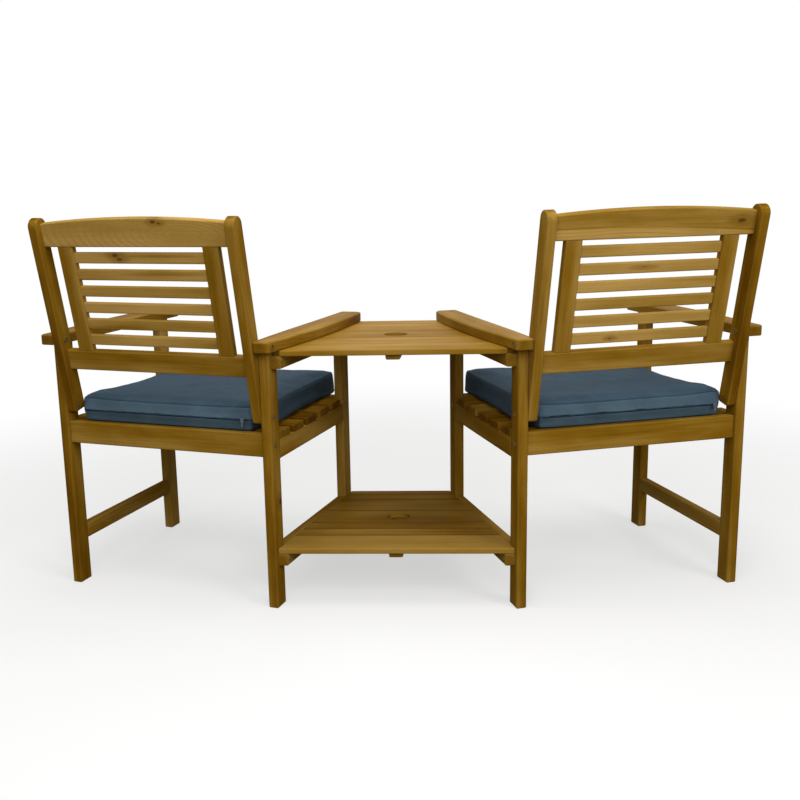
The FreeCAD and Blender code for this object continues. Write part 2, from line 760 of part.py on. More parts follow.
def all_parts():
    """Name and shape of every node, with the rear edge of the table still on y = 0."""
    parts = {}
    for name, shape in chair_parts().items():
        right = placed(shape)
        parts[f"right_{name}"] = right
        parts[f"left_{name}"] = mirrored(right)
    parts["right_zip_slider"] = placed(zip_slider(-1))
    parts["left_zip_slider"] = mirrored(placed(zip_slider(1)))
    for name, shapes in chair_fasteners().items():
        right = [placed(shape) for shape in shapes]
        parts[name] = Part.makeCompound(right + [mirrored(shape) for shape in right])
    for name, depth, top in (("table", table_depth, table_top), ("shelf", shelf_depth, stretcher_top)):
        parts[f"{name}_boards"] = boards(depth, top)
        parts[f"{name}_batten"] = battens(depth, top)
        parts[f"{name}_cleat_right"] = cleat(depth, top)
        parts[f"{name}_cleat_left"] = mirrored(cleat(depth, top))
    return parts


def main():
    os.makedirs("parts", exist_ok=True)
    parts = all_parts()
    box = Part.makeCompound(list(parts.values())).optimalBoundingBox(False, False)
    centre_y = (box.YMin + box.YMax) / 2
    for name, shape in parts.items():
        shape.translate(FreeCAD.Vector(0, -centre_y, 0))
        shape.exportStep(f"parts/{name}.step")
    print("bench size", round(box.XLength, 2), round(box.YLength, 2), round(box.ZLength, 2))
    print("pole hole at y", round(pole_hole_y - centre_y, 3), "shift", round(-centre_y, 3))


main()
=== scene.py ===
# Companion seat bench: two armchairs of oiled hardwood, turned in toward each other and joined by a
# slatted table and a low shelf, with a loose boxed cushion on each seat.
# Lengths are in metres, angles in degrees. The sitters face -Y.
import math
import random

import bmesh
import bpy
from mathutils import Matrix, Vector, noise
from mathutils.kdtree import KDTree


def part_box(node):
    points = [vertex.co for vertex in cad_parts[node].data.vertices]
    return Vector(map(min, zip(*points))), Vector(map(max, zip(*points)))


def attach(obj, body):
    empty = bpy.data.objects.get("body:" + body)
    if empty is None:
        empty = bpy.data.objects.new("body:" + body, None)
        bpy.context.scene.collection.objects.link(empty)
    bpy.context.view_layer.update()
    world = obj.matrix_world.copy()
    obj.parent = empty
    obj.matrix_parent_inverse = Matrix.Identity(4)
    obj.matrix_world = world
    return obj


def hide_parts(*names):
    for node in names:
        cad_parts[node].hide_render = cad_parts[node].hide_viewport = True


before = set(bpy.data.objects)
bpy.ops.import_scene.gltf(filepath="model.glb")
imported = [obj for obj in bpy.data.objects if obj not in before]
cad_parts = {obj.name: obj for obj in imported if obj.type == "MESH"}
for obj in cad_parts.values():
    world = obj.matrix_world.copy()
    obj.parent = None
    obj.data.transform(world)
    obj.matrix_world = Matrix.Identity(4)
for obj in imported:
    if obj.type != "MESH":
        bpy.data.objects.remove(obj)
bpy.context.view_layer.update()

# Legs. Four straight posts to a chair, sawn from oiled tropical hardwood with their arrises eased.
# The rear pair carries the back frame, and the pair beside the table carries its ledges.
# The chairs stand turned by 17 degrees, the right one clockwise and the left one the other way.
turns = {"right": 17.0, "left": -17.0}
half_chair = 0.281
rear_half_width = 0.273  # from the middle of the bench to the rear outer corner of the leg beside the table
table_setback = 0.010  # from that corner forward to the rear edge of the table
oil_dark = (0.120, 0.048, 0.001, 1)
oil_mid = (0.232, 0.118, 0.008, 1)
oil_light = (0.345, 0.203, 0.039, 1)
oil_pale = (0.490, 0.302, 0.084, 1)
end_grain = (0.085, 0.038, 0.003, 1)
knot_brown = (0.070, 0.026, 0.003, 1)


class Value:
    """A number, vector or colour that varies over a surface; sums on it become Math nodes."""

    def __init__(self, finish, socket):
        self.finish, self.socket = finish, socket

    def math(self, operation, *others):
        inputs = {n: v for n, v in enumerate((self, *others))}
        return self.finish.node("Math", {"operation": operation}, inputs)

    def __add__(self, other):
        return self.math("ADD", other)

    def __sub__(self, other):
        return self.math("SUBTRACT", other)

    def __rsub__(self, other):
        return self.finish.node("Math", {"operation": "SUBTRACT"}, {0: other, 1: self})

    def __mul__(self, other):
        return self.math("MULTIPLY", other)

    def __truediv__(self, other):
        return self.math("DIVIDE", other)

    def __rtruediv__(self, other):
        return self.finish.node("Math", {"operation": "DIVIDE"}, {0: other, 1: self})

    def __pow__(self, other):
        return self.math("POWER", other)

    def __abs__(self):
        return self.math("ABSOLUTE")

    __radd__ = __add__
    __rmul__ = __mul__

    def sine(self):
        return self.math("SINE")

    def root(self):
        return self.math("SQRT")

    def rise(self, start, end):
        """0 below start and 1 above end, with a smooth climb between them."""
        settings = {"interpolation_type": "SMOOTHSTEP"}
        return self.finish.node("MapRange", settings, {"Value": self, "From Min": start, "From Max": end})

    def split(self):
        node = self.finish.node("SeparateXYZ", {}, {0: self}).socket.node
        return [Value(self.finish, socket) for socket in node.outputs]

    def dot(self, other):
        return self.finish.node("VectorMath", {"operation": "DOT_PRODUCT"}, {0: self, 1: other}, "Value")


class Finish:
    """A material whose nodes are added one call at a time."""

    def __init__(self, name, **constants):
        self.material = bpy.data.materials.new(name)
        self.material.use_nodes = True
        self.tree = self.material.node_tree
        self.shader = self.tree.nodes["Principled BSDF"]
        for socket, value in constants.items():
            self.shader.inputs[socket.replace("_", " ")].default_value = value

    def node(self, kind, settings, inputs, output=0):
        node = self.tree.nodes.new("ShaderNode" + kind)
        for setting, value in settings.items():
            if setting == "stops":
                while len(node.color_ramp.elements) < len(value):
                    node.color_ramp.elements.new(0.5)
                for element, (place, colour) in zip(node.color_ramp.elements, value):
                    element.position, element.color = place, colour
            else:
                setattr(node, setting, value)
        for socket, value in inputs.items():
            if isinstance(value, Value):
                self.tree.links.new(value.socket, node.inputs[socket])
            else:
                node.inputs[socket].default_value = value
        return Value(self, node.outputs[output])

    def place(self):
        return self.node("TexCoord", {}, {}, "Object")

    def vector(self, x, y, z):
        return self.node("CombineXYZ", {}, {0: x, 1: y, 2: z})

    def noise(self, vector, scale=1.0, detail=2.0, roughness=0.5):
        inputs = {"Vector": vector, "Scale": scale, "Detail": detail, "Roughness": roughness}
        return self.node("TexNoise", {}, inputs, "Fac")

    def blend(self, factor, one, two):
        return self.node("Mix", {"data_type": "RGBA"}, {0: factor, 6: one, 7: two}, 2)

    def ramp(self, value, *stops):
        return self.node("ValToRGB", {"stops": stops}, {0: value}, "Color")

    def bump(self, height, depth, normal=None):
        inputs = {"Height": height, "Distance": depth}
        if normal:
            inputs["Normal"] = normal
        return self.node("Bump", {}, inputs, "Normal")

    def feed(self, **values):
        for socket, value in values.items():
            self.tree.links.new(value.socket, self.shader.inputs[socket.replace("_", " ")])


def in_row(x, y, z, side):
    """A place in a chair's own axes (x toward the table, y to the rear), as a place in the bench."""
    return chair_frame(side) @ Vector((x, y, z))


def chair_frame(side):
    """A chair's own axes in the bench: origin on the floor, midway between the backs of its rear legs."""
    turn = math.radians(turns["right"])
    rear_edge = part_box("table_boards")[1][1]
    middle = -rear_half_width - half_chair * math.cos(turn)
    back = table_setback - half_chair * math.sin(turn) + rear_edge
    right = Matrix.Translation((middle, back, 0)) @ Matrix.Rotation(turn, 4, "Z")
    return right if side == "right" else Matrix.Scale(-1, 4, (1, 0, 0)) @ right


def hardwood(name, turn, grain, lean=0.0, boards=None, knots=(), tone=0.0, figure=0.06, sapwood=None,
             lively=1.0, tilt=0.0, sheen=1.02):
    """Oiled hardwood, with the grain along one of the piece's own axes, which turn and lean with it.

    boards is for a set: the axis that counts them, their joints along it, the tones of single boards and
    how dark the joints are. A knot has a place, a size and how far it is drawn out along the grain.
    """
    log = random.Random(name)
    low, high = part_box(name)
    centre = [(a + b) / 2 for a, b in zip(low, high)]
    wood = Finish(name + "_oiled_hardwood", IOR=sheen, Specular_Tint=(1.0, 0.78, 0.42, 1))
    settings = {"vector_type": "TEXTURE"}
    rotation = (math.radians(-lean), 0, math.radians(turn))
    own = wood.node("Mapping", settings, {0: wood.place(), "Location": centre, "Rotation": rotation})
    x, y, z = own.split()
    along, across, deep = here = {"x": (x, z, y), "y": (y, x, z), "z": (z, x, y)}[grain]
    shade_shift = tone + log.uniform(-0.03, 0.03)
    if boards:
        # Each board of a set comes from another log, so its figure and tone differ.
        axis, joints, tones, gap_shade = boards
        place = {"x": x, "y": y, "z": z}[axis]
        steps = [place.math("GREATER_THAN", joint) for joint in joints]
        number = sum(steps[1:], steps[0]) - (len(joints) + 1) // 2
        lot = {"W": number + log.uniform(3, 90)}
        first, second, third = wood.node("TexWhiteNoise", {"noise_dimensions": "1D"}, lot, "Color").split()
        along = along + first * 3.0
        across = across + (second - 0.5) * 0.07
        deep = deep + third * 0.04
        shade_shift = (third - 0.5) * 0.06 + shade_shift
        for n, board_tone in tones.items():
            shade_shift = number.math("COMPARE", n, 0.5) * board_tone + shade_shift
        for joint in joints if gap_shade else ():
            shade_shift = shade_shift - (1 - abs(place - joint).rise(0.0012, 0.0042)) * gap_shade
    fibre = wood.noise(wood.vector(along * 9 + 7, across * 330, deep * 330), detail=3, roughness=0.62) - 0.5
    streak = wood.noise(wood.vector(along * 2.0 + 3, across * 30, deep * 30), detail=3, roughness=0.55) - 0.5
    cloud = wood.noise(wood.vector(along * 3.2, across * 8, deep * 8), detail=3) - 0.5
    vein = wood.noise(wood.vector(along * 1.2 + 11, across * 24, deep * 24), detail=1).rise(0.58, 0.70)
    # Growth rings round a pith that lies outside the piece, bent by the tree's slow wander.
    wander = wood.noise(wood.vector(along * 1.7 + log.uniform(0, 50), across * 7, deep * 7), detail=2) - 0.5
    drift = wood.noise(wood.vector(along * 1.1 + log.uniform(0, 50), across * 5, deep * 5), detail=1) - 0.5
    pith = (log.uniform(-0.03, 0.03), log.choice((-1, 1)) * log.uniform(0.03, 0.06))
    if tilt:
        pith = (0.0, -0.03)  # the board runs out of the log, so its rings close into arches
    side_way = across + wander * (0.090 if tilt else 0.055) - pith[0]
    in_way = deep + drift * 0.035 + along * tilt - pith[1]
    ring = (side_way * side_way + in_way * in_way).root()
    # A knot pushes the rings aside and stains the wood round it.
    turned = Matrix.Rotation(math.radians(turn), 3, "Z") @ Matrix.Rotation(math.radians(-lean), 3, "X")
    knot_core = knot_stain = None
    for place, size, stretch in knots:
        k = turned.transposed() @ (Vector(place) - Vector(centre))
        middle = {"x": (k.x, k.z, k.y), "y": (k.y, k.x, k.z), "z": (k.z, k.x, k.y)}[grain]
        reach = (stretch * size, size, 2.5 * size)
        a, b, c = [(here[n] - middle[n]) / reach[n] for n in range(3)]
        gone = (a * a + b * b + c * c) * (streak * 3.0 + 1.0)
        ring = ring + 0.010 / (1 + gone * gone)
        core, stain = 1 - gone.rise(0.05, 0.75), 1 - gone.rise(0.30, 7.0)
        knot_core = core if knot_core is None else knot_core.math("MAXIMUM", core)
        knot_stain = stain if knot_stain is None else knot_stain.math("MAXIMUM", stain)
    phase = ring / log.uniform(0.0045, 0.0070) + fibre * 0.3
    year = (phase * (2 * math.pi)).sine() * 0.5 + 0.5
    late = year ** 3.0
    rings_shown = cloud.rise(-0.12, 0.20) * figure + 0.02
    shade = streak * 0.34 + fibre * 0.18 + cloud * 0.86 - vein * 0.11 - late * rings_shown
    shade = shade * lively + shade_shift + 0.5
    if sapwood:
        # The board's edge is pale sapwood, parted from the heart by a dark line that arches along it.
        height, arch, apex = sapwood
        above = across + (along - apex) * (along - apex) * arch - height + wander * 0.004
        pale_side, dark_line = 1 - above.rise(-0.0015, 0.0005), 1 - abs(above).rise(0.0003, 0.0022)
        shade = shade + pale_side * 0.16 - dark_line * 0.10
    colour = wood.ramp(shade, (0.24, oil_dark), (0.42, oil_mid), (0.60, oil_light), (0.86, oil_pale))
    pores = wood.noise(wood.vector(along * 75, across * 1500, deep * 1500), detail=1).rise(0.66, 0.74)
    colour = wood.blend(pores * 0.22, colour, oil_dark)
    # Cut ends drink more oil and go dark. Eased edges are painted paler, partly rubbed wear and partly a
    # painted highlight where light catches the rounded arris.
    fibre_way = turned @ Vector([float(axis == grain) for axis in "xyz"])
    flat_normal = wood.node("NewGeometry", {}, {}, "True Normal")
    soft_normal = wood.node("Bevel", {"samples": 4}, {"Radius": 0.0028}, "Normal")
    cut_end = abs(flat_normal.dot(tuple(fibre_way))).rise(0.75, 0.95)
    colour = wood.blend(cut_end * 0.40, colour, end_grain)
    # Painted highlight and wear: the paler colour along the eased edges.
    edge_wear_and_highlight = (1 - soft_normal.dot(flat_normal)).rise(0.005, 0.10) * (streak + 0.6)
    colour = wood.blend(edge_wear_and_highlight * 0.35, colour, oil_pale)
    if knots:
        colour = wood.blend(knot_stain * 0.40, colour, oil_dark)
        colour = wood.blend(knot_core * 0.80, colour, knot_brown)
    relief = fibre * 0.5 + late * 0.2 - pores * 0.5
    wood.feed(Base_Color=colour, Roughness=0.52 + fibre * 0.16 + late * 0.05,
              Normal=wood.bump(relief, 0.0003, soft_normal))
    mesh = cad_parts[name].data
    mesh.materials.clear()
    mesh.materials.append(wood.material)
    return wood.material


# Tones per leg, partly the timber's own tone and partly painted light and shade: the rear legs painted
# darker, the left chair's front legs painted lighter.
leg_tones_and_painted_light = {"left_rear_leg_outer": -0.10, "left_rear_leg_inner": -0.06, "right_rear_leg_outer": -0.03,
             "right_rear_leg_inner": -0.05, "left_front_leg_outer": 0.14, "left_front_leg_inner": 0.08}
for side, turn in turns.items():
    for leg in ("rear_leg_inner", "rear_leg_outer", "front_leg_inner", "front_leg_outer"):
        name, spots = f"{side}_{leg}", []
        if name == "left_rear_leg_inner":
            spots = [(in_row(0.281, -0.036, 0.248, side), 0.006, 2.1)]
        hardwood(name, turn, "z", knots=spots, tone=leg_tones_and_painted_light.get(name, 0.0))

# Side rails and stretchers. Rails tie the legs front to rear: the side rails dip to the middle to
# carry the seat slats, and a lower stretcher on each side keeps the legs from spreading.
rail_tones = {"left_stretcher_outer": -0.05, "right_stretcher_outer": 0.12}
for side, turn in turns.items():
    for rail in ("side_rail_inner", "side_rail_outer", "stretcher_inner", "stretcher_outer"):
        hardwood(f"{side}_{rail}", turn, "y", tone=rail_tones.get(f"{side}_{rail}", 0.0))

# Seat rails and slats. A rail at the front and at the rear holds each seat's frame square, and five
# flat slats with eased edges lie across the side rails.
slat_joints = [-0.117, -0.039, 0.039, 0.117]
for side, turn in turns.items():
    for rail in ("seat_rail_front", "seat_rail_rear"):
        hardwood(f"{side}_{rail}", turn, "x", tone=-0.03)
    # The seat slats are painted darker, partly their own tone and partly painted shade from the cushions
    # above them.
    hardwood(f"{side}_seat_slats", turn, "x", boards=("y", slat_joints, {}, 0.0), tone=-0.13)

# Back frames. Two thick stiles with half round tops, an arched crest rail, a lower rail, two broad
# uprights and six thin slats housed in them, the whole leaning back.
lean = 11.6
back_pitch = 0.0386
back_knots = {
    "left_crest_rail": [((0.056, 0.068, 0.8847), 0.0065, 1.6), ((0.070, 0.067, 0.881), 0.0040, 2.0)],
    "right_crest_rail": [((-0.201, 0.064, 0.8613), 0.0070, 2.4)],
    "left_back_slats": [((-0.0576, 0.0471, 0.8118), 0.0070, 1.9), ((-0.048, 0.0452, 0.8029), 0.0060, 2.2),
                        ((0.0633, 0.0385, 0.7699), 0.0024, 26.0), ((0.0503, 0.0468, 0.8104), 0.0020, 22.0)],
    "right_back_stile_inner": [((0.2500, 0.0424, 0.6943), 0.0030, 9.0)],
    "right_back_slats": [((0.074, 0.006, 0.6127), 0.0035, 2.5), ((0.013, 0.038, 0.7687), 0.0028, 6.0)],
}
# Tones per back piece, partly the timber's own tone and partly painted light and shade: the crest rails and
# back slats painted lighter high up, the outer stiles painted darker.
back_tones_and_painted_light = {
    "left_back_stile_outer": -0.12, "right_back_stile_outer": -0.12, "left_back_stile_inner": -0.04,
    "right_back_stile_inner": 0.02, "left_back_upright_inner": -0.06, "left_back_upright_outer": 0.02,
    "left_crest_rail": 0.20, "right_crest_rail": 0.10, "right_back_rail_lower": 0.03,
    "left_back_slats": 0.24, "right_back_slats": 0.20,
}
slat_tones = {
    "left": {0: -0.03, 2: 0.03},
    "right": {-3: 0.02, -2: 0.04, -1: -0.08, 0: 0.10, 1: 0.04, 2: -0.10},
}
for side, turn in turns.items():
    for piece in ("back_stile_inner", "back_stile_outer", "back_upright_inner", "back_upright_outer"):
        name = f"{side}_{piece}"
        knots = [(in_row(*place, side), size, stretch) for place, size, stretch in back_knots.get(name, [])]
        hardwood(name, turn, "z", lean, knots=knots, tone=back_tones_and_painted_light.get(name, 0.0))
    for piece in ("crest_rail", "back_rail_lower", "back_slats"):
        name = f"{side}_{piece}"
        joints = [n * back_pitch for n in range(-2, 3)]
        boards = ("z", joints, slat_tones[side], 0.0) if piece == "back_slats" else None
        knots = [(in_row(*place, side), size, stretch) for place, size, stretch in back_knots.get(name, [])]
        rings_shown = 0.18 if piece == "crest_rail" else 0.06
        sapwood = (-0.0070, 0.115, 0.12) if name == "right_crest_rail" else None
        tilt = 0.34 if name == "left_crest_rail" else 0.0
        hardwood(name, turn, "x", lean, boards, knots, back_tones_and_painted_light.get(name, 0.0), rings_shown, sapwood,
                 tilt=tilt)

# Armrests. A flat bar with round corners on each pair of legs, standing proud in front and behind. In
# plan it swells from 45 mm at the back to 68 mm beside the sitter's hands, and narrows to its front.
arm_inside, arm_outside = 0.257, 0.297  # the straight bar's two edges
arm_underside, arm_top = 0.600, 0.620
arm_rear, arm_step = 0.015, 0.055  # where the two lists of places across the arm start, and their spacing
arm_cut_step, arm_cut_count = 0.012, 43
seat_edge = [0.2525, 0.2505, 0.2490, 0.2480, 0.2475, 0.2475, 0.2475, 0.2475, 0.2470, 0.2465, 0.2460]
free_edge = [0.2975, 0.3020, 0.3070, 0.3110, 0.3140, 0.3155, 0.3155, 0.3145, 0.3125, 0.3085, 0.3030]


def smooth_through(values, place):
    """The height at a place of a smooth curve through evenly spaced values."""
    last = len(values) - 1
    n = min(max(int(place), 0), last - 1)
    before, start, end, after = (values[min(max(n + step, 0), last)] for step in (-1, 0, 1, 2))
    t = place - n
    bend = before - 2.5 * start + 2 * end - 0.5 * after
    return start + t * ((end - before) / 2 + t * (bend + t * (1.5 * (start - end) + (after - before) / 2)))


def contoured(x, y, z):
    """Moves a corner of a straight armrest, in its chair's axes, to the arm's plan and thickness."""
    place = (arm_rear - y) / arm_step
    inside, outside = smooth_through(seat_edge, place), smooth_through(free_edge, place)
    part = (abs(x) - arm_inside) / (arm_outside - arm_inside)
    thicker = 0.0 if z < arm_underside + 0.003 else 0.004 if z > arm_top - 0.003 else 0.002
    return math.copysign(inside + (outside - inside) * part, x), y, z + thicker


def reshaped(name, wood, rule, axes=Matrix(), cuts=()):
    """A copy of a wooden node, cut across at places along y, with its corners moved by a rule."""
    piece = bmesh.new()
    piece.from_mesh(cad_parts[name].data)
    piece.transform(axes.inverted())
    for y in cuts:
        whole = piece.verts[:] + piece.edges[:] + piece.faces[:]
        bmesh.ops.bisect_plane(piece, geom=whole, plane_co=(0, y, 0), plane_no=(0, 1, 0))
    for vertex in piece.verts:
        vertex.co = rule(*vertex.co)
    piece.transform(axes)
    data = bpy.data.meshes.new(name + "_shaped")
    piece.to_mesh(data)
    piece.free()
    data.materials.clear()
    data.materials.append(wood)
    shaped = bpy.data.objects.new(name + "_shaped", data)
    bpy.context.scene.collection.objects.link(shaped)
    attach(shaped, "frame")
    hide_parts(name)


for side, turn in turns.items():
    for arm in ("armrest_inner", "armrest_outer"):
        name = f"{side}_{arm}"
        wood = hardwood(name, turn, "y", tone=-0.08, lively=0.8, sheen=1.09)
        cuts = [-0.004 - n * arm_cut_step for n in range(arm_cut_count)]
        reshaped(name, wood, contoured, chair_frame(side), cuts)

# Table and shelf. Boards of three widths lie on ledges screwed to the chairs' legs, with a short
# batten below each side of the parasol hole, and their ends are cut in line with the chairs.
joint_distances = (0.0930, 0.1395, 0.1860, 0.2790, 0.3720, 0.4185)  # from the rear edge
hole_distance = 0.2325
board_planing = 0.0018
notch_depth, notch_width = 0.012, 0.020
flare, flare_reach = 1.7, 0.034
# For each deck: the tones of single boards, the shade of the joints, the tone of the whole and its sheen. On
# the shelf these tones are painted light and shade: its rear board is painted lighter, lit past the table's
# edge, and the whole shelf is painted darker as shade under the table.
deck_looks_and_painted_light = {"table": ({}, 0.06, -0.02, 1.09), "shelf": ({3: 0.14, 2: 0.02}, 0.26, -0.08, 1.04)}
for deck, (tones, gap_shade, tone, sheen) in deck_looks_and_painted_light.items():
    low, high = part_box(f"{deck}_boards")
    half_depth = (high[1] - low[1]) / 2
    joints = [half_depth - distance for distance in joint_distances]
    boards = ("y", joints, tones, gap_shade)
    wood = hardwood(f"{deck}_boards", 0, "x", boards=boards, tone=tone, lively=0.55, sheen=sheen)
    hole_y = high[1] - hole_distance

    def planed(x, y, z):
        """The boards reach up to the armrests, and the table's last one is notched beside the legs."""
        short = notch_width if deck == "table" and y > high[1] - notch_depth + 0.0001 else 0.0
        return x - math.copysign(short, x), y, z + (board_planing if z > (low[2] + high[2]) / 2 else 0.0)

    def flared(x, y, z):
        """The battens widen to the parasol hole, to brace its rim."""
        middle = (low[0] + high[0]) / 2
        return middle + (x - middle) * (flare if abs(y - hole_y) < flare_reach else 1.0), y, z

    notch = [high[1] - notch_depth, high[1] - notch_depth + 0.0002] if deck == "table" else []
    reshaped(f"{deck}_boards", wood, planed, cuts=notch)
    reshaped(f"{deck}_batten", hardwood(f"{deck}_batten", 0, "y", lively=0.6), flared)
    for side, turn in turns.items():
        hardwood(f"{deck}_cleat_{side}", turn, "y")

# Fasteners. Yellow zinc plated socket head bolts and screws, with sleeve nuts and barrel nuts, hold the
# frames. Each head is sunk in a bore and has a chamfered rim and a hexagonal socket.
steel = Finish("zinc_plate", Metallic=0.5, IOR=1.2)
scuffs = steel.noise(steel.place(), 900, 3)
grime = steel.noise(steel.place(), 260, 2).rise(0.35, 0.65)
plate = steel.ramp(scuffs, (0.3, (0.11, 0.060, 0.013, 1)), (0.7, (0.29, 0.19, 0.065, 1)))
steel.feed(Base_Color=steel.blend(grime * 0.4, plate, (0.050, 0.030, 0.010, 1)),
           Roughness=0.36 + scuffs * 0.25)
arm_bolt_low, arm_bolt_high, arm_bolt_raised = 0.606, 0.614, 0.002
head_height = 0.003


def pieces_of(mesh):
    """The separate solids of a mesh, each as the list of its corners."""
    owner = list(range(len(mesh.vertices)))

    def root(n):
        while owner[n] != n:
            owner[n] = owner[owner[n]]
            n = owner[n]
        return n

    for edge in mesh.edges:
        owner[root(edge.vertices[0])] = root(edge.vertices[1])
    groups = {}
    for vertex in mesh.vertices:
        groups.setdefault(root(vertex.index), []).append(vertex.co.copy())
    return list(groups.values())


def socket_fastener(mesh, corners, side, sides=24):
    """Turns a bolt, screw or sleeve nut in place of a CAD one, given by its corners, across its chair."""
    chair = chair_frame(side)
    local = [chair.inverted() @ corner for corner in corners]
    ends = min(p.x for p in local), max(p.x for p in local)
    mid = Vector([(min(p[n] for p in local) + max(p[n] for p in local)) / 2 for n in range(3)])
    if arm_bolt_low < mid.z < arm_bolt_high:
        mid.z += arm_bolt_raised  # the armrests are thicker than the CAD bars

    def girth(end):
        return max(math.hypot(p.y - mid.y, p.z - mid.z) for p in local if abs(p.x - end) < 0.0005)

    outward = 1 if girth(ends[1]) > girth(ends[0]) else -1
    top, tip = (ends[1], ends[0]) if outward > 0 else ends
    head, shank = girth(top) * 0.80, min(girth(tip), girth(top) * 0.62)
    socket = head * 0.42
    # Each ring: its place along the fastener, its radius and whether it is a hexagon.
    rings = [
        (tip, shank * 0.8, 0), (tip + outward * shank * 0.2, shank, 0),
        (top - outward * head_height, shank, 0), (top - outward * head_height, head * 0.97, 0),
        (top - outward * 0.0027, head, 0), (top - outward * 0.0010, head, 0),
        (top - outward * 0.0003, head * 0.93, 0), (top, head * 0.80, 0), (top, socket * 1.08, 1),
        (top - outward * 0.0003, socket, 1), (top - outward * 0.0019, socket, 1),
    ]
    loops = []
    for x, radius, hexagon in rings:
        loop = []
        for n in range(sides):
            angle = 2 * math.pi * n / sides
            flat = math.cos(math.pi / 6) / math.cos((angle % (math.pi / 3)) - math.pi / 6) if hexagon else 1.0
            y, z = mid.y + radius * flat * math.cos(angle), mid.z + radius * flat * math.sin(angle)
            loop.append(mesh.verts.new(chair @ Vector((x, y, z))))
        loops.append(loop)
    for one, two in zip(loops, loops[1:]):
        for n in range(sides):
            m = (n + 1) % sides
            mesh.faces.new((one[n], one[m], two[m], two[n]))
    mesh.faces.new(loops[0][::-1])
    mesh.faces.new(loops[-1])


for node in ("rail_bolts", "back_bolts", "cap_nuts", "cleat_screws"):
    heads = bmesh.new()
    for corners in pieces_of(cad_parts[node].data):
        side = "left" if sum(corner.x for corner in corners) > 0 else "right"
        socket_fastener(heads, corners, side)
    bmesh.ops.recalc_face_normals(heads, faces=heads.faces)
    data = bpy.data.meshes.new(node + "_turned")
    heads.to_mesh(data)
    heads.free()
    turned_parts = bpy.data.objects.new(node + "_turned", data)
    bpy.context.scene.collection.objects.link(turned_parts)
    data.materials.append(steel.material)
    data.shade_smooth()
    crisp = turned_parts.modifiers.new("Crisp", "EDGE_SPLIT")
    crisp.split_angle = math.radians(32)
    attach(turned_parts, "frame")
    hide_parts(node)
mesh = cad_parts["barrel_nuts"].data
mesh.materials.clear()
mesh.materials.append(steel.material)
hardwood("rail_dowels", 0, "x")

# Cushions. Each is a foam pad in a boxed cover of slate blue woven polyester: a top and a bottom
# panel sewn to a band all round, pulled tight at the corners so that the sides draw in. The band is
# split behind, where the upper strip laps over the zip as a lip.
seat_level = 0.4113
cushion_height = 0.056
zip_level = seat_level + cushion_height / 2
zip_half, slit_half = 0.217, 0.222
slit_y = -0.0105
cushion_half_outline = [
    (0.000, -0.0255), (0.100, -0.0255), (0.190, -0.0255), (0.233, -0.0265), (0.2395, -0.033),
    (0.2405, -0.042), (0.2435, -0.052), (0.2490, -0.064), (0.2480, -0.095), (0.2395, -0.160),
    (0.2330, -0.270), (0.2345, -0.360), (0.2405, -0.440), (0.2410, -0.485), (0.227, -0.5030),
    (0.182, -0.5030), (0.090, -0.5), (0.000, -0.499),
]
cushion_corners = ((-0.2350, -0.0290), (0.2350, -0.0290), (0.235, -0.497), (-0.235, -0.497))
cushion_middle = Vector((0, -0.257, 0))
stile_face, stile_reach = 0.2347, -0.0450  # the cover ends short of the stiles, back to front
leg_face = 0.2525
rearmost = -0.0100


def smooth_loop(points, passes):
    """Cuts the corners of a closed outline again and again until it is round."""
    for _ in range(passes):
        following = points[1:] + points[:1]
        points = [p.lerp(q, t) for p, q in zip(points, following) for t in (0.25, 0.75)]
    return points


def spaced(points, count):
    """Points spaced evenly along a polyline, its ends included."""
    lengths = [0.0]
    for p, q in zip(points, points[1:]):
        lengths.append(lengths[-1] + (q - p).length)
    out, n = [], 0
    for step in range(count + 1):
        goal = lengths[-1] * step / count
        while n < len(points) - 2 and lengths[n + 1] < goal:
            n += 1
        part = (goal - lengths[n]) / max(lengths[n + 1] - lengths[n], 1e-9)
        out.append(points[n].lerp(points[n + 1], min(part, 1.0)))
    return out


def panel_sides(cells):
    """The outline as four sides that meet at the middles of the corners: rear, table side, front, outer."""
    half = [Vector(p) for p in cushion_half_outline]
    loop = half + [Vector((-p.x, p.y)) for p in reversed(half[1:-1])]
    loop = smooth_loop(loop, 3)
    corners = []
    for goal in cushion_corners:
        corners.append(min(range(len(loop)), key=lambda n: (loop[n] - Vector(goal)).length))
    sides = []
    for n, start in enumerate(corners):
        end = corners[(n + 1) % 4]
        run = loop[start:end + 1] if end > start else loop[start:] + loop[:end + 1]
        sides.append(spaced(run, cells))
    return sides


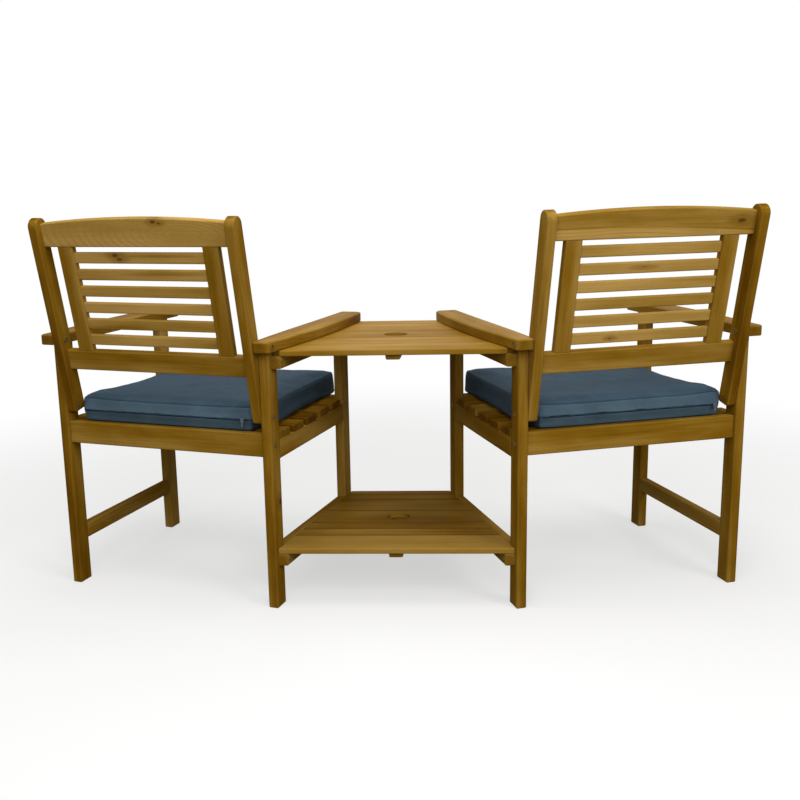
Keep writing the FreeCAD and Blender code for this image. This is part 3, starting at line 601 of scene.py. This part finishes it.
def cushion_cover(name, side, seed):
    """Sewn flat from its panels and its band, then blown up a little as cloth, as foam would fill it."""
    cells, rows = 56, 6
    rear, table, front, outer = panel_sides(cells)
    front, outer = front[::-1], outer[::-1]
    mesh = bmesh.new()

    def grid_place(i, j):
        """Fills the panel between its four sides."""
        s, t = i / cells, j / cells
        across = rear[i].lerp(front[i], t)
        down = outer[j].lerp(table[j], s)
        corner = (rear[0].lerp(rear[-1], s)).lerp(front[0].lerp(front[-1], s), t)
        return across + down - corner

    def crown(i, j):
        """The top swells a little in the middle, and its seam dips halfway along the sides."""
        s, t = i / cells * 2 - 1, j / cells * 2 - 1
        dip = 0.0040 * abs(s) ** 8 * (1 - t * t) + 0.0015 * abs(t) ** 8 * (1 - s * s)
        return 0.0030 * (1 - s ** 4) * (1 - t ** 4) - dip

    top = seat_level + cushion_height
    bottom, lid = [], []
    for grid, level in ((bottom, seat_level), (lid, top)):
        for j in range(cells + 1):
            row = []
            for i in range(cells + 1):
                p = grid_place(i, j)
                if grid is bottom:
                    # The bottom panel reaches farther back than the top, and is narrower beside the stiles.
                    p.y += 0.0060 * max(0.0, 1 - j / cells * 6)
                    p.x *= 1 - 0.075 * math.exp(-((p.y + 0.045) / 0.045) ** 2)
                row.append(mesh.verts.new((p.x, p.y, level + (crown(i, j) if grid is lid else 0.0))))
            grid.append(row)
    for grid in (bottom, lid):
        for j in range(cells):
            for i in range(cells):
                mesh.faces.new((grid[j][i], grid[j][i + 1], grid[j + 1][i + 1], grid[j + 1][i]))
    ring = [(0, i) for i in range(cells)] + [(j, cells) for j in range(cells)]
    ring += [(cells, i) for i in range(cells, 0, -1)] + [(j, 0) for j in range(cells, 0, -1)]
    bands = [[bottom[j][i] for j, i in ring]]
    for row in range(1, rows):
        level = []
        for j, i in ring:
            p = bottom[j][i].co.lerp(lid[j][i].co, row / rows)
            out = Vector((p.x - cushion_middle.x, p.y - cushion_middle.y, 0)).normalized()
            # The band bulges a little, but behind it lies straight, with the zip at its middle.
            behind = max(0.0, min(1.0, (0.233 - abs(p.x)) / 0.012)) if p.y > -0.035 else 0.0
            p += out * (0.0030 * math.sin(math.pi * row / rows)) * (1 - behind)
            p.y += (slit_y - p.y) * (1 - abs(2 * row / rows - 1)) * behind
            level.append(mesh.verts.new(p))
        bands.append(level)
    bands.append([lid[j][i] for j, i in ring])
    for low, high in zip(bands, bands[1:]):
        for n in range(len(ring)):
            m = (n + 1) % len(ring)
            strip = mesh.faces.new((low[n], high[n], high[m], low[m]))
            # The band behind takes the second material, a copy of the cloth painted paler as painted light.
            strip.material_index = 1 if n < cells else 0
    bmesh.ops.recalc_face_normals(mesh, faces=mesh.faces)
    mesh.verts.index_update()
    rings = [[v.index for v in band] for band in bands]
    floor = [v.index for row in bottom for v in row]
    data = bpy.data.meshes.new(name)
    mesh.to_mesh(data)
    mesh.free()
    cover = bpy.data.objects.new(name, data)
    bpy.context.scene.collection.objects.link(cover)
    cover.vertex_groups.new(name="seam").add(rings[0] + rings[-1], 1.0, "REPLACE")
    cover.vertex_groups.new(name="floor").add(floor, 1.0, "REPLACE")
    inflate(cover)
    settle(cover, rings[rows // 2][:cells + 1], seed)
    cover.modifiers.new("Rounding", "SUBSURF").levels = 1
    cover.data = bpy.data.meshes.new_from_object(cover.evaluated_get(bpy.context.evaluated_depsgraph_get()))
    cover.modifiers.clear()
    sew(cover, rings, cells)
    cover.vertex_groups.clear()
    cover.data.transform(chair_frame(side))
    if side == "left":
        cover.data.flip_normals()
    cover.data.shade_smooth()
    return cover


def inflate(cover):
    """Runs the cover as cloth under a light pressure and keeps the shape it takes."""
    rest = [v.co.copy() for v in cover.data.vertices]
    cloth = cover.modifiers.new("Cloth", "CLOTH")
    rules = cloth.settings
    rules.quality = 6
    rules.mass = 0.25
    rules.tension_stiffness = rules.compression_stiffness = 18
    rules.shear_stiffness = 8
    rules.bending_stiffness = 0.8
    rules.use_pressure = True
    rules.uniform_pressure_force = 2.6
    rules.vertex_group_mass = "floor"
    rules.vertex_group_shrink = "seam"
    rules.shrink_min, rules.shrink_max = 0.0, 0.03
    rules.effector_weights.gravity = 0
    last_step = 20
    cloth.point_cache.frame_start, cloth.point_cache.frame_end = 1, last_step
    for step in range(1, last_step + 1):
        bpy.context.scene.frame_set(step)
    shape = bpy.data.meshes.new_from_object(cover.evaluated_get(bpy.context.evaluated_depsgraph_get()))
    most = 0.006
    for vertex, start in zip(shape.vertices, rest):
        move = vertex.co - start
        vertex.co = start + move * min(1.0, most / max(move.length, 1e-6))
    cover.modifiers.clear()
    cover.data = shape
    bpy.context.scene.frame_set(1)


def settle(cover, zip_row, seed):
    """Keeps the cover on the slats and between the stiles and legs, with its zip level and soft dents."""
    for vertex in cover.data.vertices:
        x, y, z = vertex.co
        dent = noise.noise(Vector((x * 19 + seed, y * 19, z * 34)))
        dent += 0.6 * noise.noise(Vector((x, y, z)) * 47)
        x, y, z = Vector((x, y, z)) + vertex.normal * dent * 0.0011
        # The rear corners curl up and in a little, off the rail.
        corner = math.hypot(abs(x) - 0.240, y + 0.025)
        curl = max(0.0, 1 - corner / 0.040) * max(0.0, 1 - (z - seat_level) / 0.040)
        z += 0.002 * curl
        reach = stile_face if y > stile_reach else leg_face
        vertex.co = (max(-reach, min(reach, x)), min(y, rearmost), max(z, seat_level))
    for n in zip_row:
        vertex = cover.data.vertices[n]
        if abs(vertex.co.x) < slit_half + 0.004:
            vertex.co.y, vertex.co.z = slit_y, zip_level


def sew(cover, rings, cells):
    """Draws every seam in as a narrow groove, and cuts the slit of the zip below its lip."""
    mesh = bmesh.new()
    mesh.from_mesh(cover.data)
    mesh.verts.ensure_lookup_table()

    def run_through(indices):
        """The corners along a line of the sewn cover, with those that its rounding added between them."""
        run = [mesh.verts[indices[0]]]
        for index in indices[1:]:
            goal = mesh.verts[index]
            near = {edge.other_vert(run[-1]) for edge in run[-1].link_edges}
            run += [edge.other_vert(goal) for edge in goal.link_edges if edge.other_vert(goal) in near][:1]
            run.append(goal)
        return run

    def edges_along(run):
        return [mesh.edges.get(pair) for pair in zip(run, run[1:])]

    def marks(run):
        tree = KDTree(len(run))
        for n, vertex in enumerate(run):
            tree.insert(vertex.co, n)
        tree.balance()
        return tree

    rear = range(cells + 1)
    seams = [run_through(run) for run in (rings[0] + rings[0][:1], rings[-1] + rings[-1][:1])]
    seam_edges = [edge for run in seams for edge in edges_along(run)]
    seam_marks = marks([vertex for run in seams for vertex in run])
    middle = rings[len(rings) // 2]
    slit = run_through([middle[n] for n in rear if abs(mesh.verts[middle[n]].co.x) < slit_half + 0.003])
    slit_edges, slit_marks = edges_along(slit), marks(slit)
    sharp = {"offset_type": "OFFSET", "profile": 1.0, "affect": "EDGES", "clamp_overlap": True,
             "loop_slide": True}
    # Each row of the slit: how far above its middle, then its moves outward and up.
    lip = [(0.0018, 0.0004, 0.0), (0.0006, 0.0018, -0.0009),
           (-0.0006, -0.0055, 0.0004), (-0.0018, -0.0006, -0.0002)]
    opened = bmesh.ops.bevel(mesh, geom=slit_edges, offset=0.0024, segments=4, **sharp)["verts"]
    for vertex in opened:
        place, _, _ = slit_marks.find(vertex.co)
        above = vertex.co.z - place.z
        fade = max(0.0, min(1.0, (slit_half - abs(vertex.co.x)) / 0.008))
        out, up = next(((out, up) for least, out, up in lip if above > least), (0.0, 0.0))
        wave = 0.0006 * math.sin(vertex.co.x * 61) + 0.0005 * math.sin(vertex.co.x * 143 + 1)
        vertex.co.y = min(vertex.co.y + out * fade, -0.0086)
        vertex.co.z += (up + (wave if above > 0.0006 else 0.0)) * fade
    seam_edges = [edge for edge in seam_edges if edge.is_valid]
    drawn = bmesh.ops.bevel(mesh, geom=seam_edges, offset=0.0014, segments=2, **sharp)["verts"]
    mesh.normal_update()
    for vertex in drawn:
        if seam_marks.find(vertex.co)[2] < 0.0003:
            vertex.co -= vertex.normal * 0.0026
            vertex.co.z = max(vertex.co.z, seat_level)
    mesh.to_mesh(cover.data)
    mesh.free()


def woven(name, dark_blue, pale_blue):
    """Plain weave polyester with slubs and a faint mottle."""
    cloth = Finish(name, Sheen_Weight=0.06, Sheen_Roughness=0.5, Specular_IOR_Level=0.15,
                   Sheen_Tint=(0.45, 0.62, 0.80, 1))
    spot = cloth.place()
    x, y, z = spot.split()
    yarn = 0.00085
    weft = ((x + z) * (2 * math.pi / yarn)).sine()
    warp = ((y - z) * (2 * math.pi / yarn)).sine()
    weave = weft * warp
    mottle = cloth.noise(spot, 16, 3)
    slub = cloth.noise(cloth.vector(x * 90, y * 900, z * 900), 1, 2)
    tint = mottle * 0.55 + slub * 0.3 + weave * 0.06
    cloth.feed(Base_Color=cloth.ramp(tint, (0.25, dark_blue), (0.70, pale_blue)),
               Roughness=0.74 + mottle * 0.15,
               Normal=cloth.bump(weave * 0.6 + slub * 0.8, 0.00012))
    return cloth.material


# The band behind is the same cloth painted paler than the panels: painted light on the band that faces the
# lamps.
panel_cloth = woven("slate_blue_cloth", (0.017, 0.036, 0.054, 1), (0.039, 0.074, 0.107, 1))
rear_band_painted_paler = woven("slate_blue_rear_band_painted_paler", (0.036, 0.064, 0.087, 1), (0.074, 0.122, 0.160, 1))
for side, seed in (("left", 4), ("right", 11)):
    cover = cushion_cover(f"{side}_cushion_cover", side, seed)
    cover.data.materials.append(panel_cloth)
    cover.data.materials.append(rear_band_painted_paler)
    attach(cover, f"{side}_cushion")
    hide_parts(f"{side}_cushion")

# Zips. A dark coil zip on woven tape lies in the slit of each cushion's back, its tape sewn under the
# lips, and a cast slider with a hanging pull tab runs along it.
zip_face = -0.0115
tape_half_width = 0.0024
tooth_pitch = 0.0020
pull_parked = 0.020  # nearer to the end of the slit than the CAD slider
tape = Finish("zip_tape", Roughness=0.8, Specular_IOR_Level=0.1)
ribs = tape.noise(tape.place(), 1200, 2)
tape.feed(Base_Color=tape.ramp(ribs, (0.3, (0.004, 0.007, 0.011, 1)), (0.7, (0.010, 0.017, 0.025, 1))))
cast = Finish("zip_cast_metal", Metallic=1.0)
rub = cast.noise(cast.place(), 700, 3)
cast.feed(Base_Color=cast.ramp(rub, (0.3, (0.05, 0.065, 0.08, 1)), (0.7, (0.12, 0.145, 0.17, 1))),
          Roughness=0.42 + rub * 0.2)


def slab(mesh, outline, y_low, y_high):
    """A flat plate that faces the rear, from its outline in x and z."""
    front = [mesh.verts.new((x, y_low, z)) for x, z in outline]
    back = [mesh.verts.new((x, y_high, z)) for x, z in outline]
    mesh.faces.new(front)
    mesh.faces.new(back[::-1])
    for n in range(len(outline)):
        m = (n + 1) % len(outline)
        mesh.faces.new((front[n], back[n], back[m], front[m]))


def finished(mesh, name, side, finish, body, node):
    """Sets a zip piece in its chair and fixes it to the body that carries it."""
    bmesh.ops.recalc_face_normals(mesh, faces=mesh.faces)
    data = bpy.data.meshes.new(name)
    mesh.to_mesh(data)
    mesh.free()
    data.transform(chair_frame(side))
    if side == "left":
        data.flip_normals()
    data.materials.append(finish.material)
    piece = bpy.data.objects.new(name, data)
    bpy.context.scene.collection.objects.link(piece)
    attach(piece, body)
    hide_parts(node)


for side in turns:
    chain = bmesh.new()
    strip = [(-zip_half, zip_level - tape_half_width), (zip_half, zip_level - tape_half_width),
             (zip_half, zip_level + tape_half_width), (-zip_half, zip_level + tape_half_width)]
    slab(chain, strip, zip_face - 0.0038, zip_face - 0.0032)
    for n in range(round(2 * (zip_half - 0.002) / tooth_pitch)):
        for row in (-1, 1):
            x = -zip_half + 0.002 + tooth_pitch * (n + (0.5 if row > 0 else 0.0))
            tooth = [(x - 0.00055, zip_level + row * 0.0015), (x + 0.00055, zip_level + row * 0.0015),
                     (x + 0.00030, zip_level - row * 0.0004), (x - 0.00030, zip_level - row * 0.0004)]
            slab(chain, tooth, zip_face - 0.0032, zip_face - 0.0016)
    finished(chain, f"{side}_zip_tape", side, tape, f"{side}_cushion", f"{side}_zip_chain")

    low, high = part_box(f"{side}_zip_slider")
    middle = chair_frame(side).inverted() @ ((Vector(low) + Vector(high)) / 2)
    slider = bmesh.new()
    nose = 1 if middle.x < 0 else -1
    middle.x -= nose * pull_parked
    shield = [(-0.0050, -0.0048), (0.0018, -0.0048), (0.0050, -0.0026), (0.0050, 0.0026), (0.0018, 0.0048),
              (-0.0050, 0.0048), (-0.0040, 0.0)]
    shield = [(middle.x + nose * x, zip_level + z) for x, z in shield]
    slab(slider, shield, zip_face + 0.0018, zip_face + 0.0032)
    for edge in (-1, 1):
        flange = [(middle.x + nose * x, zip_level + edge * z)
                  for x, z in ((-0.0044, 0.0036), (0.0020, 0.0036), (0.0020, 0.0048), (-0.0044, 0.0048))]
        slab(slider, flange, zip_face + 0.0003, zip_face + 0.0018)
    arch = [(middle.x + x, zip_level + z)
            for x, z in ((-0.0032, -0.0009), (0.0032, -0.0009), (0.0032, 0.0009), (-0.0032, 0.0009))]
    slab(slider, arch, zip_face + 0.0032, zip_face + 0.0042)
    tab = []
    # Each end of the pull tab: where its half circle starts, half its width, its middle and its rise.
    for start, half, end_level, rise in ((0.0, 0.0025, 0.0002, 0.0023), (math.pi, 0.0021, -0.0134, 0.0021)):
        for n in range(25):
            angle = start + math.pi * n / 24
            tab.append((middle.x + half * math.cos(angle), zip_level + end_level + rise * math.sin(angle)))
    slab(slider, tab, zip_face + 0.0033, zip_face + 0.0045)
    long_edges = [edge for edge in slider.edges if edge.calc_length() > 0.0003]
    bmesh.ops.bevel(slider, geom=long_edges, offset=0.00022, segments=1, affect="EDGES", clamp_overlap=True)
    finished(slider, f"{side}_zip_pull", side, cast, f"{side}_zip_slider", f"{side}_zip_slider")

# The studio: a pale floor that runs out into white, two soft lamps from behind the photographer, one
# overhead and a weak one on the sitters' side, with the camera where the photograph was taken.
ground = Finish("pale_floor", Roughness=0.9, Specular_IOR_Level=0.1)
across, deep, _ = ground.place().split()
away = (across * across + deep * deep).root()
floor_tone = ground.noise(ground.place(), 3, 2)
rays = ground.node("LightPath", {}, {}, "Is Camera Ray")
gloss = ground.node("LightPath", {}, {}, "Is Glossy Ray")
glass = ground.node("LightPath", {}, {}, "Is Transmission Ray")
shown = rays.math("MAXIMUM", gloss).math("MAXIMUM", glass)
pale = ground.ramp(floor_tone, (0.2, (0.86, 0.86, 0.86, 1)), (0.8, (0.89, 0.89, 0.89, 1)))
ground.feed(Base_Color=ground.blend(shown, (0.30, 0.28, 0.24, 1), pale))
white = ground.node("Emission", {}, {"Color": (1, 1, 1, 1), "Strength": 1.0})
lit = Value(ground, ground.shader.outputs[0])
seen = shown * (away.rise(1.0, 2.6) * 0.42 + 0.58)
mixed = ground.node("MixShader", {}, {0: seen, 1: lit, 2: white})
ground.tree.links.new(mixed.socket, ground.tree.nodes["Material Output"].inputs["Surface"])
disc = bmesh.new()
bmesh.ops.create_circle(disc, cap_ends=True, segments=96, radius=9.0)
floor_mesh = bpy.data.meshes.new("floor")
disc.to_mesh(floor_mesh)
disc.free()
floor = bpy.data.objects.new("floor", floor_mesh)
bpy.context.scene.collection.objects.link(floor)
floor_mesh.materials.append(ground.material)
floor.location.z = -0.0005

world = bpy.data.worlds.new("studio")
world.use_nodes = True
bpy.context.scene.world = world
sky = world.node_tree
backdrop = sky.nodes["Background"]
backdrop.inputs["Color"].default_value = (1.0, 0.95, 0.87, 1)
backdrop.inputs["Strength"].default_value = 0.15
plain_white = sky.nodes.new("ShaderNodeBackground")
plain_white.inputs["Color"].default_value = (1, 1, 1, 1)
path = sky.nodes.new("ShaderNodeLightPath")
shown = path.outputs["Is Camera Ray"]
for ray in ("Is Glossy Ray", "Is Transmission Ray"):
    either = sky.nodes.new("ShaderNodeMath")
    either.operation = "MAXIMUM"
    sky.links.new(shown, either.inputs[0])
    sky.links.new(path.outputs[ray], either.inputs[1])
    shown = either.outputs[0]
choose = sky.nodes.new("ShaderNodeMixShader")
sky.links.new(shown, choose.inputs[0])
sky.links.new(backdrop.outputs[0], choose.inputs[1])
sky.links.new(plain_white.outputs[0], choose.inputs[2])
sky.links.new(choose.outputs[0], sky.nodes["World Output"].inputs["Surface"])

lit_middle = Vector((0, 0, 0.45))
for name, place, size, power in (
    ("key", (-2.3, 2.2, 2.2), 1.4, 40),
    ("front", (0.2, 3.1, 2.2), 2.2, 58),
    ("top", (0.2, 0.3, 2.7), 2.0, 48),
    ("fill", (-0.3, -3.2, 1.9), 2.4, 12),
):
    lamp = bpy.data.lights.new(name, "AREA")
    lamp.size, lamp.energy = size, power
    holder = bpy.data.objects.new(name, lamp)
    holder.location = place
    holder.rotation_euler = (lit_middle - Vector(place)).to_track_quat("-Z", "Y").to_euler()
    bpy.context.scene.collection.objects.link(holder)

# The camera is the one fitted to the photograph.
lens = bpy.data.cameras.new("camera")
lens.sensor_width = 36.0
lens.lens = 46.15
lens.shift_x, lens.shift_y = 0.03838, 0.00489
camera = bpy.data.objects.new("camera", lens)
heading, dip, roll = math.radians(183.3465), math.radians(90 - 12.1066), math.radians(-1.2314)
camera.matrix_world = (Matrix.Translation((-0.0757, 2.4969, 0.9538)) @ Matrix.Rotation(heading, 4, "Z")
                       @ Matrix.Rotation(dip, 4, "X") @ Matrix.Rotation(roll, 4, "Z"))
bpy.context.scene.collection.objects.link(camera)
bpy.context.scene.camera = camera
bpy.context.scene.view_settings.view_transform = "Standard"
